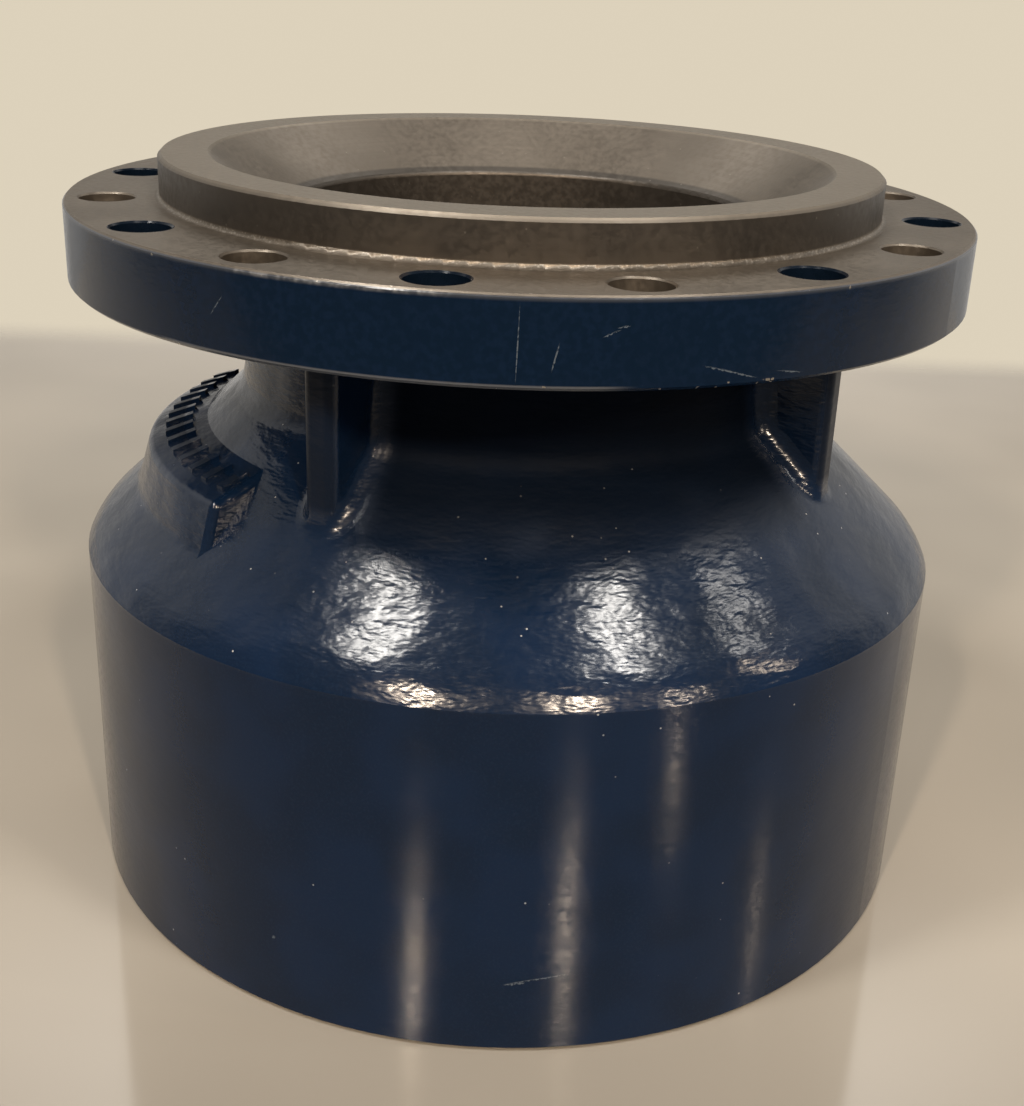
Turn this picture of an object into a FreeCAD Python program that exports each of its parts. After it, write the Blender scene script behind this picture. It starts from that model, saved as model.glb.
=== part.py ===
import FreeCAD, Part
import math
import os

# Turbine pump bowl: one stage's iron casting, with a bronze bearing bush pressed into its hub.
# Lengths are in millimetres. The bowl stands on the barrel's end face: the origin is that face's
# centre, +Z runs up the shaft's axis, and +X points at a flange hole.
# The casting is a barrel with a sloping shoulder, a waisted neck with four ribs, a drilled flange and
# a spigot with a dished seat. Inside, vanes join the hub to the shell and turn the water upright.

# Barrel and shoulder
barrel_radius = 120.65
barrel_height = 94.2
barrel_edge = 0.9
shoulder_break = 64.8
shoulder_slope = 43.0
shoulder_round = 24.3

# Neck
neck_foot_radius = 76.5
neck_taper = 4.0
neck_foot_round = 9.0
neck_top_round = 9.0

# Flange and its holes. Its rim lines up with the barrel of the next bowl, so the step between them is zero.
flange_rim_step = 0.0
flange_top = 188.9
flange_thickness = 19.9
flange_edge = 0.7
bolt_edge_distance = 11.1
bolt_count = 16
bolt_hole_radius = 7.14
bolt_hole_edge = 0.45

# Spigot, dished seat and throat
spigot_inset = 24.15
spigot_land = 12.8
spigot_height = 11.1
spigot_edge = 1.0
spigot_foot_round = 1.2
seat_depth = 14.1
throat_radius = 63.0
throat_edge_round = 1.5
throat_length = 30.0
throat_step = 1.5

# Ribs between the shoulder and the flange
rib_count = 4
rib_turn = 2.4
rib_bolt_gap = 15.35
rib_thickness = 9.0
rib_edge_round = 2.8
rib_foot_round = 5.5

# Raised pad on the shoulder, with plain ridges
pad_start = -170.6
pad_span = 67.0
pad_rim_radius = 102.5
pad_rim_height = 9.4
pad_width = 15.6
pad_top_slope = 18.9
pad_draft = 3.6
pad_rim_round = 2.4
pad_foot_round = 5.0
pad_end_round = 2.0
ridge_count = 14
ridge_angle = 1.55
ridge_height = 1.3
ridge_inner_margin = 3.7
ridge_outer_margin = 4.4

# Shell inside
wall = 9.5
register_clearance = 0.12
register_extra_depth = 1.4
register_shelf = 2.62
end_band_height = 34.0
bulge_height = 24.0
bulge_round = 18.0
throat_entry_round = 25.0
seat_in_wall = 3.2

# Tapped holes in the barrel's end face
tapped_radius = 5.4
tapped_depth = 25.0
tapped_edge = 1.0
drill_point = 118.0

# Hub
inlet_gap = 16.0
hub_shoulder_height = 36.0
hub_taper_radius = 33.0
hub_taper_height = 58.0
hub_nose_radius = 26.0
hub_nose_round = 5.0
hub_round = 26.0
hub_throat_gap = 5.0
hub_wall = 8.0
hub_pocket_depth = 62.0
boss_radius = 30.0
boss_recess = 6.0

# Vanes between the hub and the shell
vane_count = 6
vane_wrap = 54.0
vane_thickness = 5.5
vane_tip_thickness = 3.2
vane_inlet_gap = 5.0
vane_outlet_gap = 9.0
vane_sections = 7

# Bearing bush
bush_inner_radius = 15.1
bush_wall = 6.0
bush_end_gap = 2.0
bush_edge = 0.8
groove_count = 3
groove_radius = 1.6

# Faces nearer than this touch; cuts run this far past a face
touch = 1e-3
overrun = 1.0

axis_point = FreeCAD.Vector(0, 0, 0)
axis_direction = FreeCAD.Vector(0, 0, 1)

# Derived sizes. The flange bolts to the barrel of the next bowl, so the smaller of the two rims sets the
# bolt circle, the spigot and all that follows from them.
flange_radius = barrel_radius + flange_rim_step
mating_radius = min(flange_radius, barrel_radius)
bolt_circle_radius = mating_radius - bolt_edge_distance
rib_reach = bolt_circle_radius - rib_bolt_gap
spigot_radius = mating_radius - spigot_inset
seat_radius = spigot_radius - spigot_land
neck_top_radius = neck_foot_radius - neck_taper
pad_inner_radius = pad_rim_radius - pad_width
ridge_inner_radius = pad_inner_radius + ridge_inner_margin
flange_under = flange_top - flange_thickness
bowl_top = flange_top + spigot_height
seat_foot = bowl_top - seat_depth
throat_foot = seat_foot - throat_length
register_radius = spigot_radius + register_clearance
register_depth = spigot_height + register_extra_depth
inlet_radius = register_radius - register_shelf
hub_radius = inlet_radius - inlet_gap
slope = math.radians(shoulder_slope)
steep = math.radians(shoulder_break)
round_run = shoulder_round * math.tan((steep - slope) / 2)
cone_start_radius = barrel_radius - round_run * math.cos(steep)
cone_start_height = barrel_height + round_run * math.sin(steep)
chamber_radius = barrel_radius - wall - seat_in_wall
hub_top = throat_foot - hub_throat_gap
bush_outer_radius = bush_inner_radius + bush_wall
boss_foot = end_band_height + boss_recess


def shoulder_height(radius, depth=0.0):
    """Height of the shoulder's cone at a radius, or of a cone that lies a given depth below its surface."""
    return cone_start_height + (cone_start_radius - radius) * math.tan(slope) - depth / math.cos(slope)


def outline(corners):
    """Face in the XZ plane from corners (radius, height, rounding), with a tangent arc at each rounded corner."""
    points = [FreeCAD.Vector(radius, 0, height) for radius, height, rounding in corners]
    runs = []
    for index, (radius, height, rounding) in enumerate(corners):
        corner = points[index]
        if not rounding:
            runs.append((corner, None, corner))
            continue
        back = (points[index - 1] - corner).normalize()
        ahead = (points[(index + 1) % len(points)] - corner).normalize()
        half = back.getAngle(ahead) / 2
        middle = (back + ahead).normalize()
        reach = rounding / math.tan(half)
        crown = rounding / math.sin(half) - rounding
        runs.append((corner + back * reach, corner + middle * crown, corner + ahead * reach))
    edges = []
    for index, (start, crown, end) in enumerate(runs):
        last = runs[index - 1][2]
        if last.distanceToPoint(start) > touch:
            edges.append(Part.makeLine(last, start))
        if crown:
            edges.append(Part.Arc(start, crown, end).toShape())
    return Part.Face(Part.Wire(edges))


def turned(corners, span=360.0, start=0.0):
    """Solid of revolution of an outline about the shaft's axis, from a start angle."""
    face = outline(corners)
    face.rotate(axis_point, axis_direction, start)
    return face.revolve(axis_point, axis_direction, span)


def round_pattern(shape, count, start=0.0):
    """Copies of a shape, evenly spaced about the shaft's axis."""
    copies = []
    for index in range(count):
        copy = shape.copy()
        copy.rotate(axis_point, axis_direction, start + 360.0 * index / count)
        copies.append(copy)
    return copies


def outer_body():
    """The casting's outside as a solid without its hollows."""
    return turned([
        (0, 0, 0),
        (barrel_radius - barrel_edge, 0, 0),
        (barrel_radius, barrel_edge, 0),
        (barrel_radius, barrel_height, 0),
        (cone_start_radius, cone_start_height, shoulder_round),
        (neck_foot_radius, shoulder_height(neck_foot_radius), neck_foot_round),
        (neck_top_radius, flange_under, neck_top_round),
        (flange_radius - flange_edge, flange_under, 0),
        (flange_radius, flange_under + flange_edge, 0),
        (flange_radius, flange_top - flange_edge, 0),
        (flange_radius - flange_edge, flange_top, 0),
        (spigot_radius, flange_top, spigot_foot_round),
        (spigot_radius, bowl_top - spigot_edge, 0),
        (spigot_radius - spigot_edge, bowl_top, 0),
        (0, bowl_top, 0),
    ])


def rib():
    """One upright rib, rooted in the neck, the shoulder and the flange."""
    inner = neck_top_radius - seat_in_wall
    face = outline([
        (inner, shoulder_height(neck_foot_radius, seat_in_wall), 0),
        (neck_foot_radius, shoulder_height(neck_foot_radius, seat_in_wall), 0),
        (rib_reach, shoulder_height(rib_reach, seat_in_wall), 0),
        (rib_reach, flange_under + seat_in_wall, 0),
        (inner, flange_under + seat_in_wall, 0),
    ])
    face.translate(FreeCAD.Vector(0, -rib_thickness / 2, 0))
    plate = face.extrude(FreeCAD.Vector(0, rib_thickness, 0))
    outer_edges = [edge for edge in plate.Edges
                   if all(abs(vertex.X - rib_reach) < touch for vertex in edge.Vertexes)
                   and abs(edge.Vertexes[0].Z - edge.Vertexes[-1].Z) > rib_thickness / 2]
    return plate.makeFillet(rib_edge_round, outer_edges)


def pad():
    """Raised pad along the shoulder, with a drafted rim, a gently sloping top and rounded ends."""
    rim_top = shoulder_height(pad_rim_radius) + pad_rim_height
    root_radius = pad_inner_radius - seat_in_wall
    root_top = rim_top + (pad_rim_radius - root_radius) * math.tan(math.radians(pad_top_slope))
    foot_radius = pad_rim_radius + pad_draft
    foot = shoulder_height(foot_radius)
    drafted = FreeCAD.Vector(-pad_draft, 0, rim_top - foot)
    sloped = FreeCAD.Vector(math.cos(slope), 0, -math.sin(slope))
    skirt_radius = foot_radius + pad_foot_round / math.tan(drafted.getAngle(sloped) / 2) * math.cos(slope)
    blank = turned([
        (root_radius, shoulder_height(root_radius, seat_in_wall), 0),
        (skirt_radius, shoulder_height(skirt_radius, seat_in_wall), 0),
        (skirt_radius, shoulder_height(skirt_radius), 0),
        (foot_radius, foot, pad_foot_round),
        (pad_rim_radius, rim_top, pad_rim_round),
        (root_radius, root_top, 0),
    ], pad_span, pad_start)
    ends = []
    for face in blank.Faces:
        if face.Surface.TypeId != "Part::GeomPlane":
            continue
        for edge in face.Edges:
            middle = edge.valueAt((edge.FirstParameter + edge.LastParameter) / 2)
            if middle.z > shoulder_height(math.hypot(middle.x, middle.y)) + touch:
                ends.append(edge)
    return blank.makeFillet(pad_end_round, ends)


def ridges():
    """Plain raised ridges across the pad's top."""
    rim_top = shoulder_height(pad_rim_radius) + pad_rim_height
    rise = math.tan(math.radians(pad_top_slope))
    outer = pad_rim_radius - ridge_outer_margin
    outer_top = rim_top + ridge_outer_margin * rise
    inner_top = rim_top + (pad_rim_radius - ridge_inner_radius) * rise
    pitch = pad_span / ridge_count
    solids = []
    for index in range(ridge_count):
        start = pad_start + pitch * (index + 0.5) - ridge_angle / 2
        solids.append(turned([
            (ridge_inner_radius, inner_top - ridge_height, 0),
            (outer, outer_top - ridge_height, 0),
            (outer, outer_top + ridge_height, 0),
            (ridge_inner_radius, inner_top + ridge_height, 0),
        ], ridge_angle, start))
    return solids


def hollow(grow=0.0):
    """The shell's hollow from the barrel's end face to the spigot's rim. Grown, it reaches into the walls."""
    depth = wall - grow
    widest = chamber_radius + grow
    throat = throat_radius + grow
    cast_throat = throat - throat_step
    return turned([
        (0, -overrun, 0),
        (register_radius, -overrun, 0),
        (register_radius, register_depth, 0),
        (inlet_radius + grow, register_depth, 0),
        (inlet_radius + grow, end_band_height, 0),
        (widest, end_band_height + bulge_height, bulge_round),
        (widest, shoulder_height(widest, depth), bulge_round),
        (cast_throat, shoulder_height(cast_throat, depth), throat_entry_round),
        (cast_throat, throat_foot, 0),
        (throat, throat_foot, 0),
        (throat, seat_foot, throat_edge_round),
        (seat_radius, bowl_top, 0),
        (seat_radius, bowl_top + overrun, 0),
        (0, bowl_top + overrun, 0),
    ])


def hub(shrink=0.0):
    """The hub's outside as a solid, from its underside to its nose. Shrunk, it lies inside its own skin."""
    shoulder_top = end_band_height + hub_shoulder_height
    return turned([
        (0, end_band_height, 0),
        (hub_radius - shrink, end_band_height, 0),
        (hub_radius - shrink, shoulder_top, hub_round),
        (hub_taper_radius - shrink, shoulder_top + hub_taper_height, hub_round),
        (hub_nose_radius - shrink, hub_top - shrink, hub_nose_round),
        (0, hub_top - shrink, 0),
    ])


def hub_pocket():
    """The cored pocket under the hub, around the bearing's boss."""
    shoulder_top = end_band_height + hub_shoulder_height
    pocket_top = end_band_height + hub_pocket_depth
    return turned([
        (0, end_band_height - overrun, 0),
        (hub_radius - hub_wall, end_band_height - overrun, 0),
        (hub_radius - hub_wall, shoulder_top - hub_wall / 2, hub_round - hub_wall),
        (boss_radius + hub_wall, pocket_top, hub_wall / 2),
        (boss_radius, pocket_top, hub_wall / 3),
        (boss_radius, boss_foot, 0),
        (0, boss_foot, 0),
    ])


def vane_section(share, foot, top):
    """Closed wire across one vane at a share of its height: a radial strip, turned to the vane's camber."""
    height = foot + (top - foot) * share
    turn = math.radians(vane_wrap) * (1 - share) ** 2
    lean = 2 * math.radians(vane_wrap) * (1 - share) / (top - foot)
    body = vane_tip_thickness + (vane_thickness - vane_tip_thickness) * math.sin(math.pi * share)
    corners = []
    for radius, side in ((hub_nose_radius / 2, -1), (barrel_radius, -1), (barrel_radius, 1), (hub_nose_radius / 2, 1)):
        half_angle = body * math.sqrt(1 + (radius * lean) ** 2) / (2 * radius)
        angle = turn + side * half_angle
        corners.append(FreeCAD.Vector(radius * math.cos(angle), radius * math.sin(angle), height))
    return Part.makePolygon(corners + corners[:1])


def vanes(passage):
    """Twisted vanes, trimmed to the water passage and rooted in the hub and the shell."""
    foot = end_band_height + vane_inlet_gap
    top = hub_top - vane_outlet_gap
    sections = [vane_section(index / (vane_sections - 1), foot, top) for index in range(vane_sections)]
    blank = Part.makeLoft(sections, True, False)
    vane = blank.common(passage)
    return round_pattern(vane, vane_count)


def bolt_holes():
    """Through holes of the flange, with a small break at both faces."""
    mouth_radius = bolt_hole_radius + bolt_hole_edge + overrun
    hole = turned([
        (0, flange_under - overrun, 0),
        (mouth_radius, flange_under - overrun, 0),
        (bolt_hole_radius, flange_under + bolt_hole_edge, 0),
        (bolt_hole_radius, flange_top - bolt_hole_edge, 0),
        (mouth_radius, flange_top + overrun, 0),
        (0, flange_top + overrun, 0),
    ])
    hole.translate(FreeCAD.Vector(bolt_circle_radius, 0, 0))
    return round_pattern(hole, bolt_count)


def tapped_holes():
    """Blind holes in the barrel's end face, on the flange's bolt circle, at their thread's inner size."""
    point = tapped_radius / math.tan(math.radians(drill_point / 2))
    hole = turned([
        (0, -overrun, 0),
        (tapped_radius + tapped_edge + overrun, -overrun, 0),
        (tapped_radius, tapped_edge, 0),
        (tapped_radius, tapped_depth, 0),
        (0, tapped_depth + point, 0),
    ])
    hole.translate(FreeCAD.Vector(bolt_circle_radius, 0, 0))
    return round_pattern(hole, bolt_count)


def blended(base, added, rounding):
    """Two solids joined, with a fillet along the edges where they meet."""
    joined = base.fuse(added)
    skins = [Part.makeShell(solid.Faces) for solid in (base, added)]
    meeting = []
    for edge in joined.Edges:
        if edge.Degenerated:
            continue
        middle = Part.Vertex(edge.valueAt((edge.FirstParameter + edge.LastParameter) / 2))
        if all(skin.distToShape(middle)[0] < touch for skin in skins):
            meeting.append(edge)
    return joined.makeFillet(rounding, meeting)


def casting():
    """The whole casting."""
    body = outer_body()
    for upright in round_pattern(rib(), rib_count, rib_turn):
        body = blended(body, upright, rib_foot_round)
    body = body.fuse([pad()] + ridges())
    body = body.cut(hollow())
    passage = hollow(seat_in_wall).cut(hub(seat_in_wall))
    centre = hub().cut(hub_pocket())
    body = body.fuse([centre] + vanes(passage))
    bore = Part.makeCylinder(bush_outer_radius, bowl_top, axis_point, axis_direction)
    return body.cut([bore] + bolt_holes() + tapped_holes())


def bearing_bush():
    """Bronze sleeve pressed into the hub, with lead-ins and straight water grooves in its bore."""
    foot = boss_foot + bush_end_gap
    top = hub_top - bush_end_gap
    sleeve = turned([
        (bush_inner_radius + bush_edge, foot, 0),
        (bush_outer_radius - bush_edge, foot, 0),
        (bush_outer_radius, foot + bush_edge, 0),
        (bush_outer_radius, top - bush_edge, 0),
        (bush_outer_radius - bush_edge, top, 0),
        (bush_inner_radius + bush_edge, top, 0),
        (bush_inner_radius, top - bush_edge, 0),
        (bush_inner_radius, foot + bush_edge, 0),
    ])
    groove = Part.makeCylinder(groove_radius, bowl_top, FreeCAD.Vector(bush_inner_radius, 0, 0), axis_direction)
    return sleeve.cut(round_pattern(groove, groove_count))


def main():
    os.makedirs("parts", exist_ok=True)
    nodes = {"bowl_casting": casting(), "bearing_bush": bearing_bush()}
    for name, shape in nodes.items():
        solids = shape.Solids
        print(name, "solids", len(solids), "valid", shape.isValid(), "volume %.0f" % shape.Volume)
        shape = solids[0] if len(solids) == 1 else shape
        shape.exportStep("parts/" + name + ".step")


main()
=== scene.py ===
import math

import bpy
from mathutils import Matrix, Vector

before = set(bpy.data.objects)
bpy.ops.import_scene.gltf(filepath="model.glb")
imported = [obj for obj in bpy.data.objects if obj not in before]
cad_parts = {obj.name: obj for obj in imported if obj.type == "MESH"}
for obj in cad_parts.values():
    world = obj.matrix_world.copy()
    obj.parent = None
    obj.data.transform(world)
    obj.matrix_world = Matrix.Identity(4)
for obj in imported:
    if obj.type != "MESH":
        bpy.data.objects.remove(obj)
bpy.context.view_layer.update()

# Looks of the turbine pump bowl. Lengths are in metres in the row frame. Materials measure their
# places in millimetres, with the radius from the shaft's axis, the angle about it and the height.

# Camera, in the photograph's frame of 1024 by 1106 pixels
FRAME_HEIGHT = 1106
SENSOR = 36.0
FOCAL_PIXELS = 1499.0
FLANGE_RADIUS = 0.12065
CAMERA_AZIMUTH = math.radians(31.38)
CAMERA_DISTANCE = 3.4483 * FLANGE_RADIUS
CAMERA_HEIGHT = 2.1165 * FLANGE_RADIUS
CAMERA_YAW = 0.0031
CAMERA_PITCH = -0.3922
CAMERA_ROLL = 0.0387

# Places on the casting, in millimetres
BARREL_RADIUS = 120.65
CREASE_HEIGHT = 94.2
FLANGE_UNDER = 169.0
FLANGE_TOP = 188.9
BOWL_TOP = 200.0
SPIGOT_RADIUS = 96.5
THROAT_RADIUS = 63.0
THROAT_FOOT = 155.9
REGISTER_DEPTH = 12.5
BOLT_CIRCLE = 109.55
BOLT_COUNT = 16
BOLT_RADIUS = 7.14

# Surfaces inside the walls, which part the hollow's finish from the skin's
BARREL_SPLIT = 113.0
NECK_SPLIT = 67.0
NECK_SPLIT_FOOT = 100.0
SHOULDER_SPLIT = 216.0
SHOULDER_SLOPE = 1.0724

# Painted shade in the recess under the flange, between the ribs, and on the ribs' faces in it
RECESS_RADII = (93.0, 107.0)
RECESS_HEIGHTS = (114.0, 132.0)
RECESS_TURN = (-20, 50)
RIB_FACE_RADIUS = 92.5
RIB_FACE_HEIGHTS = (124.0, 128.0)

# Floor: half width and level in metres, then where it fades out, in millimetres from the shaft's axis
FLOOR_SIZE = 1.5
FLOOR_LEVEL = -0.0002
FLOOR_BACK = (520.0, 585.0)
FLOOR_SIDE = (900.0, 1050.0)
FLOOR_FRONT = (300.0, 430.0)

# Colours, linear
NAVY = (0.0040, 0.0155, 0.047)
NAVY_LIGHT = (0.008, 0.022, 0.056)
NAVY_DEEP = (0.0034, 0.0125, 0.036)
# Painted shade for the paint on the flange
NAVY_RIM_SHADE = (0.0020, 0.0100, 0.028)
DUST = (0.30, 0.31, 0.32)
# Painted shade for the walls of the bolt holes
HOLE_SHADE = (0.004, 0.007, 0.011)
RECESS_SHADE = (0.002, 0.004, 0.008)
# Painted glints for the specks on the paint
SPECK_GLINT = (0.42, 0.43, 0.45)
SCUFFED = (0.16, 0.20, 0.25)
MACHINED = (0.235, 0.205, 0.170)
MACHINED_DARK = (0.165, 0.142, 0.116)
# Bright bare iron where the paint is chipped, also used for painted highlights and glints
BRIGHT_IRON_AND_HIGHLIGHT = (0.50, 0.46, 0.40)
MACHINED_LAND = (0.33, 0.29, 0.235)
# Painted shade for the turned upright walls
MACHINED_WALL_SHADE = (0.086, 0.079, 0.072)
CAST_INSIDE = (0.030, 0.026, 0.023)
CAST_RUST = (0.075, 0.042, 0.026)
BRONZE = (0.50, 0.33, 0.15)
BRONZE_DARK = (0.22, 0.135, 0.065)
FLOOR = (0.49, 0.449, 0.387)
FLOOR_SHADE = (0.435, 0.40, 0.345)
# Painted shade for the floor's near part
FLOOR_NEAR_SHADE = (0.29, 0.265, 0.23)
BACKGROUND = (0.72, 0.64, 0.50, 1.0)
ROOM = (1.0, 0.95, 0.88, 1.0)
WARM = (1.0, 0.81, 0.62)


class Net:
    """Builds one material's nodes. Every method returns an output socket."""

    def __init__(self, name):
        self.material = bpy.data.materials.new(name)
        self.material.use_nodes = True
        self.nodes = self.material.node_tree.nodes
        self.links = self.material.node_tree.links
        self.nodes.clear()

    def feed(self, socket, value):
        if isinstance(value, bpy.types.NodeSocket):
            self.links.new(value, socket)
        elif isinstance(value, tuple) and len(value) == 3 and socket.type == "RGBA":
            socket.default_value = value + (1.0,)
        else:
            socket.default_value = value

    def math(self, operation, a, b=0.0):
        node = self.nodes.new("ShaderNodeMath")
        node.operation = operation
        self.feed(node.inputs[0], a)
        self.feed(node.inputs[1], b)
        return node.outputs[0]

    def add(self, a, b):
        return self.math("ADD", a, b)

    def sub(self, a, b):
        return self.math("SUBTRACT", a, b)

    def mul(self, a, b):
        return self.math("MULTIPLY", a, b)

    def either(self, a, b):
        return self.math("MAXIMUM", a, b)

    def both(self, a, b):
        return self.math("MULTIPLY", a, b)

    def inverse(self, a):
        return self.math("SUBTRACT", 1.0, a)

    def rise(self, value, low, high, to_low=0.0, to_high=1.0):
        """Smooth step from one output to another as the value goes from low to high."""
        node = self.nodes.new("ShaderNodeMapRange")
        node.interpolation_type = "SMOOTHSTEP"
        self.feed(node.inputs["Value"], value)
        node.inputs["From Min"].default_value = low
        node.inputs["From Max"].default_value = high
        node.inputs["To Min"].default_value = to_low
        node.inputs["To Max"].default_value = to_high
        return node.outputs["Result"]

    def band(self, value, low, high, soft):
        """One inside the band, falling to zero outside it over the soft width."""
        return self.both(self.rise(value, low - soft, low), self.rise(value, high, high + soft, 1.0, 0.0))

    def stretched(self, where, x, y, z):
        """A place with each coordinate scaled by its own factor."""
        node = self.nodes.new("ShaderNodeVectorMath")
        node.operation = "MULTIPLY"
        self.feed(node.inputs[0], where)
        node.inputs[1].default_value = (x, y, z)
        return node.outputs[0]

    def noise(self, where, scale, detail=1.0, rough=0.5):
        node = self.nodes.new("ShaderNodeTexNoise")
        self.feed(node.inputs["Vector"], where)
        node.inputs["Scale"].default_value = scale
        node.inputs["Detail"].default_value = detail
        node.inputs["Roughness"].default_value = rough
        return node.outputs["Fac"]

    def points(self, where, scale):
        """Distance to the nearest of many scattered points."""
        node = self.nodes.new("ShaderNodeTexVoronoi")
        self.feed(node.inputs["Vector"], where)
        node.inputs["Scale"].default_value = scale
        return node.outputs["Distance"]

    def combine(self, x, y, z):
        node = self.nodes.new("ShaderNodeCombineXYZ")
        for socket, value in zip(node.inputs, (x, y, z)):
            self.feed(socket, value)
        return node.outputs[0]

    def mix(self, share, a, b):
        node = self.nodes.new("ShaderNodeMix")
        node.data_type = "RGBA"
        self.feed(node.inputs["Factor"], share)
        self.feed(node.inputs["A"], a)
        self.feed(node.inputs["B"], b)
        return node.outputs["Result"]

    def blend(self, share, a, b):
        """Number between a and b."""
        node = self.nodes.new("ShaderNodeMix")
        node.data_type = "FLOAT"
        self.feed(node.inputs["Factor"], share)
        self.feed(node.inputs["A"], a)
        self.feed(node.inputs["B"], b)
        return node.outputs["Result"]

    def bump(self, height, distance, strength=1.0):
        node = self.nodes.new("ShaderNodeBump")
        self.feed(node.inputs["Height"], height)
        node.inputs["Distance"].default_value = distance
        self.feed(node.inputs["Strength"], strength)
        return node.outputs["Normal"]

    def place(self):
        """Radius, angle and height in millimetres, and the position itself."""
        position = self.nodes.new("ShaderNodeTexCoord").outputs["Object"]
        scaled = self.nodes.new("ShaderNodeVectorMath")
        scaled.operation = "SCALE"
        scaled.inputs["Scale"].default_value = 1000.0
        self.feed(scaled.inputs[0], position)
        parts = self.nodes.new("ShaderNodeSeparateXYZ")
        self.feed(parts.inputs[0], scaled.outputs[0])
        x, y, height = parts.outputs
        radius = self.math("SQRT", self.add(self.mul(x, x), self.mul(y, y)))
        angle = self.math("ARCTAN2", y, x)
        return scaled.outputs[0], radius, angle, height

    def shader(self, **values):
        """Principled surface as the material's output."""
        node = self.nodes.new("ShaderNodeBsdfPrincipled")
        for name, value in values.items():
            self.feed(node.inputs[name.replace("_", " ")], value)
        output = self.nodes.new("ShaderNodeOutputMaterial")
        self.links.new(node.outputs[0], output.inputs["Surface"])
        return node


def polar(relative):
    """Angle about the shaft's axis, in radians, of a place given in degrees from the photograph's front."""
    return math.radians(relative) + CAMERA_AZIMUTH - math.pi / 2


def scratch(net, where, relative, middle, run, rise, width):
    """Mask of one fine scratch on a cylinder, from its centre and half extents in millimetres."""
    length = math.hypot(run, rise)
    node = net.nodes.new("ShaderNodeMapping")
    node.vector_type = "TEXTURE"
    net.feed(node.inputs["Vector"], where)
    node.inputs["Location"].default_value = (polar(relative) * BARREL_RADIUS, middle, 0.0)
    node.inputs["Rotation"].default_value = (0.0, 0.0, math.atan2(rise, run))
    node.inputs["Scale"].default_value = (length, width, 1.0)
    away = net.nodes.new("ShaderNodeVectorMath")
    away.operation = "LENGTH"
    net.feed(away.inputs[0], node.outputs[0])
    return net.rise(away.outputs["Value"], 0.6, 1.0, 1.0, 0.0)


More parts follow.
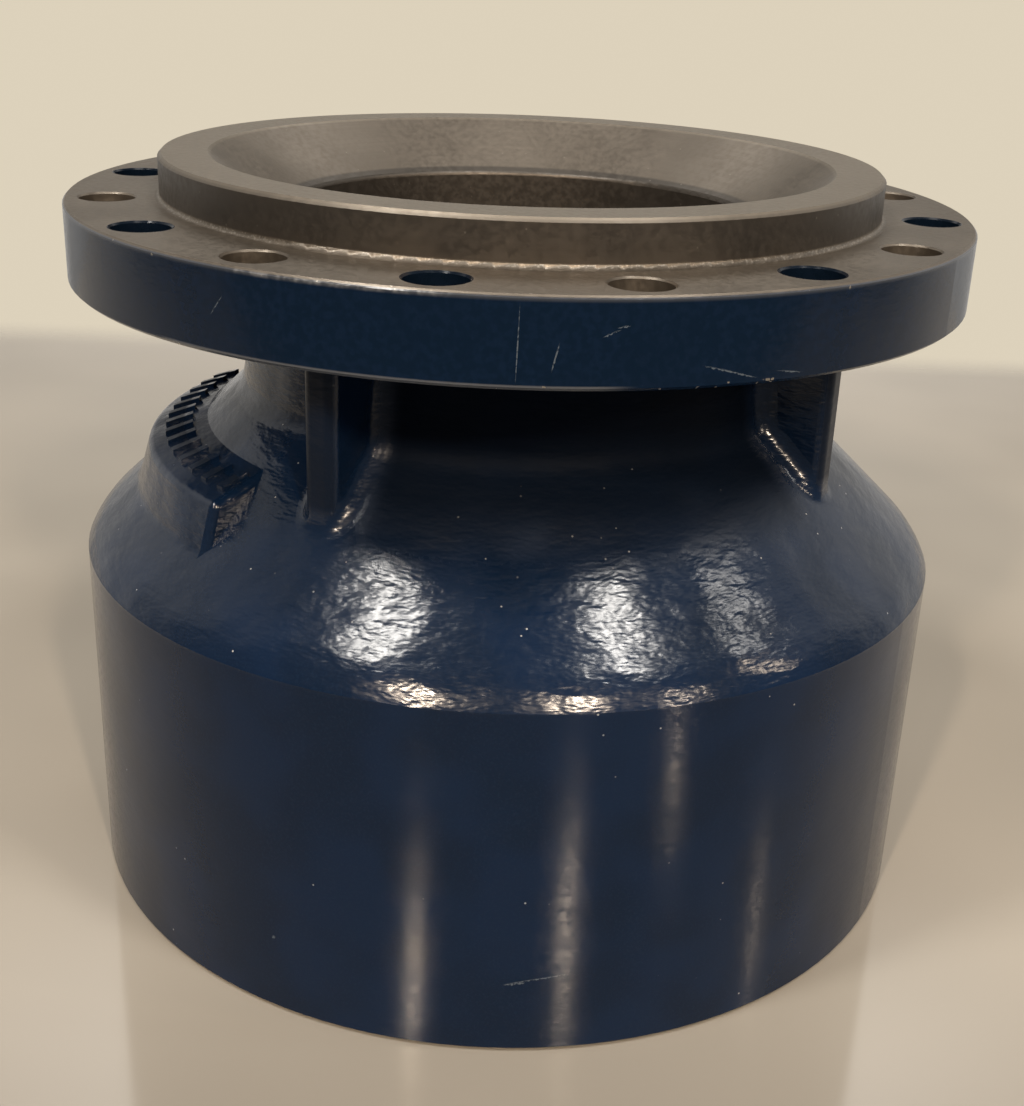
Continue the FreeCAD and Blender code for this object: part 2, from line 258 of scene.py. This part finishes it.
def casting_material():
    """Navy enamel outside, bare turned iron on the machined faces and dark cast iron in the water passage."""
    net = Net("bowl_finish")
    spot, radius, angle, height = net.place()

    # Where each finish is
    top_face = net.rise(height, FLANGE_TOP - 0.55, FLANGE_TOP - 0.25)
    cone_skin = net.rise(net.add(radius, net.mul(height, SHOULDER_SLOPE)), SHOULDER_SPLIT, SHOULDER_SPLIT + 1.0)
    inner = net.both(net.rise(radius, BARREL_SPLIT, BARREL_SPLIT + 0.6, 1.0, 0.0), net.inverse(cone_skin))
    neck_inner = net.both(net.rise(radius, NECK_SPLIT, NECK_SPLIT + 0.6, 1.0, 0.0),
                          net.rise(height, NECK_SPLIT_FOOT, NECK_SPLIT_FOOT + 1.0))
    inner = net.either(inner, neck_inner)
    inner = net.either(inner, net.rise(height, 0.2, 0.4, 1.0, 0.0))
    turned_below = net.rise(height, REGISTER_DEPTH + 0.1, REGISTER_DEPTH + 0.3, 1.0, 0.0)
    turned_above = net.rise(height, THROAT_FOOT - 0.3, THROAT_FOOT - 0.1)
    turned_inside = net.both(inner, net.either(turned_below, turned_above))
    hole_turn = net.mul(angle, BOLT_COUNT / (2 * math.pi))
    nearest = net.math("ROUND", hole_turn)
    sideways = net.mul(net.mul(net.sub(hole_turn, nearest), 2 * math.pi / BOLT_COUNT), radius)
    outward = net.sub(radius, BOLT_CIRCLE)
    from_hole = net.math("SQRT", net.add(net.mul(sideways, sideways), net.mul(outward, outward)))
    odd_hole = net.math("GREATER_THAN", net.math("PINGPONG", nearest, 1.0), 0.5)
    at_flange = net.rise(height, FLANGE_UNDER - 2.0, FLANGE_UNDER - 1.0)
    hole_wall = net.both(net.rise(from_hole, BOLT_RADIUS + 0.5, BOLT_RADIUS + 0.7, 1.0, 0.0), at_flange)

    # Noises that several finishes share
    fine = net.noise(spot, 1.6, 1.0, 0.6)
    small = net.noise(spot, 0.55, 1.0, 0.6)
    broad = net.noise(spot, 0.045, 1.0, 0.55)
    upright_streaks = net.noise(net.combine(net.mul(angle, 38.0), net.mul(height, 0.05), 0.0), 1.0, 1.0, 0.6)

    # Holes: every other one keeps its paint, the others show ragged bare iron
    ragged = net.rise(upright_streaks, 0.40, 0.52)
    bare_hole = net.both(hole_wall, net.inverse(odd_hole))
    bare_hole = net.both(bare_hole, net.either(ragged, net.rise(height, FLANGE_TOP - 9.0, FLANGE_TOP - 3.0)))

    # Wear on the paint: bare spots along the rims, thickest where the photograph shows them
    outside = net.rise(radius, BARREL_RADIUS - 1.0, BARREL_RADIUS - 0.5)
    at_rim = net.rise(radius, BARREL_RADIUS - 1.5, BARREL_RADIUS - 1.0)
    upper_edge = net.both(at_rim, net.rise(height, FLANGE_TOP - 1.6, FLANGE_TOP - 0.5))
    lower_edge = net.both(at_rim, net.band(height, FLANGE_UNDER - 0.4, FLANGE_UNDER + 0.9, 0.4))
    worn_left = net.band(angle, polar(-28), polar(-9), 0.06)
    worn_right = net.band(angle, polar(12), polar(27), 0.05)
    chips = net.both(upper_edge, net.rise(net.add(small, net.mul(worn_left, 0.07)), 0.75, 0.78))
    chips = net.either(chips, net.both(lower_edge, net.rise(net.add(small, net.mul(worn_right, 0.08)), 0.74, 0.77)))
    unrolled = net.combine(net.mul(angle, BARREL_RADIUS), net.add(height, net.mul(net.sub(fine, 0.5), 0.8)), 0.0)
    scuffs = 0.0
    for mark in SCRATCHES:
        scuffs = net.either(scratch(net, unrolled, *mark), scuffs)
    scuffs = net.both(net.both(scuffs, outside), net.rise(fine, 0.40, 0.55, 0.25, 1.0))
    # Bright specks on the paint: dust specks painted near white as glints
    points = net.points(spot, 0.20)
    above = net.band(height, CREASE_HEIGHT, FLANGE_UNDER - 30.0, 1.0)
    speck_glints = net.both(net.rise(points, 0.035, 0.060, 1.0, 0.0), net.inverse(at_flange))
    speck_glints = net.both(speck_glints, net.rise(net.add(broad, net.mul(above, 0.13)), 0.53, 0.63))

    # Paint
    tint = net.mix(net.rise(broad, 0.35, 0.65), NAVY_DEEP, NAVY)
    tint = net.mix(net.rise(fine, 0.45, 0.75, 0.0, 0.4), tint, NAVY_LIGHT)
    # Painted shade: the paint on the flange is darkened, by more in some places than in others
    tint = net.mix(net.mul(at_flange, net.rise(small, 0.40, 0.66, 0.98, 0.62)), tint, NAVY_RIM_SHADE)
    # Painted shade: the walls of the bolt holes are darkened towards near black
    tint = net.mix(net.both(hole_wall, 0.7), tint, HOLE_SHADE)
    tint = net.mix(speck_glints, tint, SPECK_GLINT)
    rubbed = net.mul(upper_edge, net.blend(worn_left, 0.20, net.rise(small, 0.32, 0.72, 0.22, 0.72)))
    rubbed = net.either(rubbed, net.mul(net.both(lower_edge, net.band(angle, polar(-38), polar(8), 0.08)), 0.30))
    tint = net.mix(rubbed, tint, DUST)
    tint = net.mix(net.mul(scuffs, 0.6), tint, SCUFFED)
    barrel_rough = net.rise(small, 0.30, 0.72, 0.11, 0.20)
    shoulder_rough = net.rise(small, 0.30, 0.72, 0.165, 0.215)

    # Turned iron
    rings = net.noise(net.combine(net.mul(radius, 1.1), net.mul(height, 1.1), net.mul(angle, 0.6)), 1.0, 2.0, 0.65)
    bare = net.mix(net.rise(rings, 0.30, 0.70, 0.0, 0.22), MACHINED, MACHINED_DARK)
    bare = net.mix(net.rise(broad, 0.35, 0.65, 0.0, 0.50), bare, MACHINED_DARK)
    bare = net.mix(net.rise(height, BOWL_TOP - 0.7, BOWL_TOP - 0.3, 0.0, 0.6), bare, MACHINED_LAND)
    # Painted shade: the spigot's upright wall and the throat's bore are darkened
    spigot_wall = net.both(net.rise(radius, SPIGOT_RADIUS - 0.4, SPIGOT_RADIUS - 0.1),
                           net.band(height, FLANGE_TOP + 1.6, BOWL_TOP - 1.2, 0.4))
    throat_wall = net.both(net.rise(radius, THROAT_RADIUS + 1.8, THROAT_RADIUS + 2.6, 1.0, 0.0), turned_above)
    bare = net.mix(net.mul(net.either(spigot_wall, throat_wall), 0.75), bare, MACHINED_WALL_SHADE)
    # Painted highlight: a bright line along the fillet at the spigot's foot, and bright pin specks on the bare iron
    # painted as glints
    foot_highlight = net.both(net.band(radius, SPIGOT_RADIUS - 0.1, SPIGOT_RADIUS + 0.5, 0.30),
                         net.rise(height, FLANGE_TOP + 1.0, FLANGE_TOP + 1.6, 1.0, 0.0))
    painted_highlights = net.both(foot_highlight, net.rise(fine, 0.48, 0.72, 0.03, 0.60))
    pin_glints = net.rise(points, 0.04, 0.07, 1.0, 0.0)
    painted_highlights = net.either(painted_highlights, net.mul(pin_glints, 0.25))
    bare = net.mix(painted_highlights, bare, BRIGHT_IRON_AND_HIGHLIGHT)
    bare_rough = net.rise(small, 0.30, 0.75, 0.38, 0.50)

    # Cast iron inside the water passage
    inside_tint = net.mix(net.rise(broad, 0.46, 0.60), CAST_INSIDE, CAST_RUST)

    # Finishes put together
    turned_place = net.either(top_face, turned_inside)
    painted_hole = net.both(hole_wall, net.inverse(bare_hole))
    turned = net.both(net.either(turned_place, bare_hole), net.inverse(painted_hole))
    colour = net.mix(inner, tint, inside_tint)
    colour = net.mix(turned, colour, bare)
    shown_metal = net.both(chips, net.inverse(inner))
    colour = net.mix(shown_metal, colour, BRIGHT_IRON_AND_HIGHLIGHT)
    as_cast = net.both(net.rise(height, CREASE_HEIGHT - 1.0, CREASE_HEIGHT + 1.0),
                       net.rise(height, FLANGE_UNDER - 1.5, FLANGE_UNDER - 0.5, 1.0, 0.0))
    recess = net.both(as_cast, net.both(net.rise(radius, *RECESS_RADII, 1.0, 0.0), net.rise(height, *RECESS_HEIGHTS)))
    recess = net.both(recess, net.band(angle, polar(RECESS_TURN[0]), polar(RECESS_TURN[1]), 0.12))
    rib_face = net.both(net.rise(radius, RIB_FACE_RADIUS, RIB_FACE_RADIUS + 1.0), net.rise(height, *RIB_FACE_HEIGHTS))
    recess = net.either(recess, net.mul(net.both(as_cast, rib_face), 0.6))
    # Painted shade in the recess under the flange between the ribs, and on the ribs' faces in it
    colour = net.mix(net.mul(recess, 0.8), colour, RECESS_SHADE)
    metal = net.either(net.mul(turned, 0.9), shown_metal)
    rough = net.blend(as_cast, barrel_rough, shoulder_rough)
    rough = net.blend(recess, rough, 0.55)
    rough = net.blend(inner, rough, 0.62)
    rough = net.blend(turned, rough, bare_rough)
    rough = net.blend(shown_metal, rough, 0.4)

    # Relief in millimetres: rippled cast skin under the paint above the barrel, light orange peel elsewhere
    ripples = net.noise(net.stretched(spot, 0.38, 0.38, 1.1), 0.44, 2.0, 0.62)
    lumps = net.noise(spot, 0.055, 1.0, 0.5)
    depth = net.blend(as_cast, 0.12, 1.0)
    depth = net.blend(inner, depth, 1.0)
    depth = net.blend(turned_place, depth, 0.0)
    normal = net.bump(net.add(net.mul(ripples, 0.24), net.mul(lumps, 0.9)), 0.001, strength=depth)
    gloss = net.blend(as_cast, net.blend(at_flange, 0.24, 0.34), 0.5)
    gloss = net.blend(recess, gloss, 0.06)
    net.shader(Base_Color=colour, Metallic=metal, Roughness=rough, Normal=normal, Specular_IOR_Level=gloss)
    return net.material


def bush_material():
    """Machined bronze with fine turning marks and darker, oily patches."""
    net = Net("bush_finish")
    spot, radius, angle, height = net.place()
    rings = net.noise(net.combine(net.mul(radius, 1.5), net.mul(height, 4.0), net.mul(angle, 0.5)), 1.0, 3.0, 0.7)
    patches = net.noise(spot, 0.12, 4.0, 0.6)
    colour = net.mix(net.rise(patches, 0.40, 0.70), BRONZE, BRONZE_DARK)
    colour = net.mix(net.rise(rings, 0.35, 0.65, 0.0, 0.35), colour, BRONZE_DARK)
    rough = net.rise(patches, 0.30, 0.75, 0.28, 0.50)
    normal = net.bump(net.add(net.mul(rings, 0.02), net.mul(patches, 0.03)), 0.001)
    net.shader(Base_Color=colour, Metallic=1.0, Roughness=rough, Normal=normal)
    return net.material


def floor_material():
    """Pale satin table top, darkened towards the camera by painted shade, that fades out at its edges and is clear
    from below. Its back edge lies across the photograph's view."""
    net = Net("floor_finish")
    spot, radius, angle, height = net.place()
    turn = net.sub(angle, CAMERA_AZIMUTH)
    backward = net.mul(radius, net.math("SINE", turn))
    sideways = net.math("ABSOLUTE", net.mul(radius, net.math("COSINE", turn)))
    edge = net.either(net.rise(backward, *FLOOR_BACK), net.rise(sideways, *FLOOR_SIDE))
    edge = net.either(edge, net.rise(net.mul(backward, -1.0), *FLOOR_FRONT))
    cloudy = net.noise(spot, 0.006, 2.0, 0.55)
    colour = net.mix(net.rise(cloudy, 0.30, 0.70), FLOOR, FLOOR_SHADE)
    # Painted shade: the floor darkens towards the camera
    colour = net.mix(net.rise(backward, -170.0, -60.0, 0.75, 0.0), colour, FLOOR_NEAR_SHADE)
    surface = net.shader(Base_Color=colour, Roughness=0.10, Specular_IOR_Level=0.8)
    clear = net.nodes.new("ShaderNodeBsdfTransparent")
    faded = net.nodes.new("ShaderNodeMixShader")
    below = net.nodes.new("ShaderNodeNewGeometry").outputs["Backfacing"]
    net.feed(faded.inputs[0], net.either(edge, below))
    net.links.new(surface.outputs[0], faded.inputs[1])
    net.links.new(clear.outputs[0], faded.inputs[2])
    output = [node for node in net.nodes if node.type == "OUTPUT_MATERIAL"][0]
    net.links.new(faded.outputs[0], output.inputs["Surface"])
    return net.material


# Scratches on the barrel and the flange's rim: degrees from the photograph's front, height, half run,
# half rise and half width in millimetres
SCRATCHES = [
    (0.2, 178.7, 0.2, 9.2, 0.16),
    (3.9, 176.2, 0.8, 3.4, 0.22),
    (9.3, 181.3, 2.1, 0.9, 0.18),
    (10.4, 182.6, 1.6, 0.3, 0.14),
    (22.0, 172.3, 7.2, -1.9, 0.20),
    (29.0, 171.2, 4.0, -0.5, 0.16),
    (5.5, 21.7, 8.8, 1.5, 0.24),
    (2.6, 20.3, 3.0, 0.4, 0.30),
    (-27.0, 21.6, 0.5, 0.4, 0.55),
    (-32.0, 180.0, 2.0, 2.6, 0.14),
]


def paint(node, material):
    """Gives a CAD node its material in every slot."""
    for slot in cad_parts[node].material_slots:
        slot.material = material


def add_floor():
    """Table top just under the bowl, so that the two faces don't share a plane."""
    size, level = FLOOR_SIZE, FLOOR_LEVEL
    mesh = bpy.data.meshes.new("floor")
    corners = [(-size, -size, level), (size, -size, level), (size, size, level), (-size, size, level)]
    mesh.from_pydata(corners, [], [(0, 1, 2, 3)])
    floor = bpy.data.objects.new("floor", mesh)
    bpy.context.collection.objects.link(floor)
    floor.data.materials.append(floor_material())


def soften(data):
    """Makes a lamp fade out towards its edges."""
    data.use_nodes = True
    nodes = data.node_tree.nodes
    links = data.node_tree.links
    nodes.clear()
    across = nodes.new("ShaderNodeNewGeometry")
    parts = nodes.new("ShaderNodeSeparateXYZ")
    links.new(across.outputs["Parametric"], parts.inputs[0])
    fades = []
    for side in parts.outputs[:2]:
        swing = nodes.new("ShaderNodeMath")
        swing.operation = "PINGPONG"
        swing.inputs[1].default_value = 0.5
        links.new(side, swing.inputs[0])
        fade = nodes.new("ShaderNodeMapRange")
        fade.interpolation_type = "SMOOTHSTEP"
        fade.inputs["From Max"].default_value = 0.4
        links.new(swing.outputs[0], fade.inputs["Value"])
        fades.append(fade)
    both = nodes.new("ShaderNodeMath")
    both.operation = "MULTIPLY"
    links.new(fades[0].outputs["Result"], both.inputs[0])
    links.new(fades[1].outputs["Result"], both.inputs[1])
    emission = nodes.new("ShaderNodeEmission")
    links.new(both.outputs[0], emission.inputs["Strength"])
    output = nodes.new("ShaderNodeOutputLight")
    links.new(emission.outputs[0], output.inputs["Surface"])


def add_lamp(name, azimuth, elevation, distance, width, depth, power, shown=True, target=0.1, soft=False,
             colour=(1.0, 0.96, 0.90)):
    """Rectangular lamp that faces the bowl. Its azimuth is in degrees from the camera's side, to the right."""
    data = bpy.data.lights.new(name, "AREA")
    data.shape = "RECTANGLE"
    data.size = width
    data.size_y = depth
    data.energy = power
    data.color = colour
    turn = math.radians(azimuth) + CAMERA_AZIMUTH
    lift = math.radians(elevation)
    centre = Vector((0, 0, target))
    direction = Vector((math.sin(turn) * math.cos(lift), -math.cos(turn) * math.cos(lift), math.sin(lift)))
    lamp = bpy.data.objects.new(name, data)
    lamp.location = centre + direction * distance
    lamp.rotation_euler = direction.to_track_quat("Z", "Y").to_euler()
    lamp.visible_camera = shown
    if soft:
        soften(data)
    bpy.context.collection.objects.link(lamp)


def add_lamps():
    """Ceiling lamps for the shoulder, narrow strips for the barrel's streaks, and soft walls for the sides."""
    add_lamp("over_left", -54, 62, 2.0, 0.20, 0.44, 12.5)
    add_lamp("over_middle", 48, 60, 2.0, 0.20, 0.32, 9.3)
    add_lamp("over_right", 85, 45, 2.0, 0.12, 0.24, 1.7)
    add_lamp("over_back", 180, 46, 2.4, 3.2, 1.4, 32, shown=False, soft=True)
    add_lamp("over_top", 0, 89, 1.8, 0.6, 0.6, 3.0)
    add_lamp("strip_left", -21, 33.5, 2.0, 0.075, 0.20, 15, colour=WARM)
    add_lamp("strip_middle", 19, 31.5, 2.0, 0.075, 0.26, 14.5, colour=WARM)
    add_lamp("strip_right", 45, 24.0, 2.0, 0.07, 0.12, 3.5, colour=WARM)
    add_lamp("strip_side", 75, 31.0, 2.0, 0.09, 0.21, 2.2, colour=WARM)
    add_lamp("side_left", -108, 36, 1.6, 2.0, 1.3, 3.0, shown=False, soft=True)
    add_lamp("side_right", 114, 32, 1.6, 1.6, 1.2, 3.2, shown=False, soft=True)
    add_lamp("wall_back", 180, 0, 1.6, 2.8, 1.3, 8, shown=False, target=0.0, soft=True)
    add_lamp("wall_right", 124, 8, 1.5, 1.9, 1.6, 5.0, shown=False, target=0.0, soft=True)
    add_lamp("wall_left", -122, 10, 1.5, 2.2, 1.8, 5.4, shown=False, target=0.0, soft=True)


def add_world():
    """Soft room light on the object, and the pale wall for the camera alone."""
    world = bpy.data.worlds.new("studio")
    world.use_nodes = True
    nodes = world.node_tree.nodes
    links = world.node_tree.links
    nodes.clear()
    soft = nodes.new("ShaderNodeBackground")
    soft.inputs["Color"].default_value = ROOM
    soft.inputs["Strength"].default_value = 0.13
    shown = nodes.new("ShaderNodeBackground")
    shown.inputs["Color"].default_value = BACKGROUND
    shown.inputs["Strength"].default_value = 1.0
    paths = nodes.new("ShaderNodeLightPath")
    mixed = nodes.new("ShaderNodeMixShader")
    output = nodes.new("ShaderNodeOutputWorld")
    links.new(paths.outputs["Is Camera Ray"], mixed.inputs[0])
    links.new(soft.outputs[0], mixed.inputs[1])
    links.new(shown.outputs[0], mixed.inputs[2])
    links.new(mixed.outputs[0], output.inputs["Surface"])
    bpy.context.scene.world = world


def add_camera():
    """The photograph's camera, from a fit to its circles."""
    heading = CAMERA_YAW - CAMERA_AZIMUTH
    level = math.cos(CAMERA_PITCH)
    forward = Vector((math.sin(heading) * level, math.cos(heading) * level, math.sin(CAMERA_PITCH)))
    right = forward.cross(Vector((0, 0, 1))).normalized()
    up = right.cross(forward)
    rolled_right = right * math.cos(CAMERA_ROLL) + up * math.sin(CAMERA_ROLL)
    rolled_up = up * math.cos(CAMERA_ROLL) - right * math.sin(CAMERA_ROLL)
    matrix = Matrix((rolled_right, rolled_up, -forward)).transposed().to_4x4()
    matrix.translation = (CAMERA_DISTANCE * math.sin(CAMERA_AZIMUTH), -CAMERA_DISTANCE * math.cos(CAMERA_AZIMUTH),
                          CAMERA_HEIGHT)
    data = bpy.data.cameras.new("camera")
    data.sensor_fit = "AUTO"
    data.sensor_width = SENSOR
    data.lens = FOCAL_PIXELS / FRAME_HEIGHT * SENSOR
    camera = bpy.data.objects.new("camera", data)
    camera.matrix_world = matrix
    bpy.context.collection.objects.link(camera)
    bpy.context.scene.camera = camera


def main():
    paint("bowl_casting", casting_material())
    paint("bearing_bush", bush_material())
    add_floor()
    add_world()
    add_lamps()
    add_camera()
    bpy.context.scene.view_settings.view_transform = "Standard"


main()
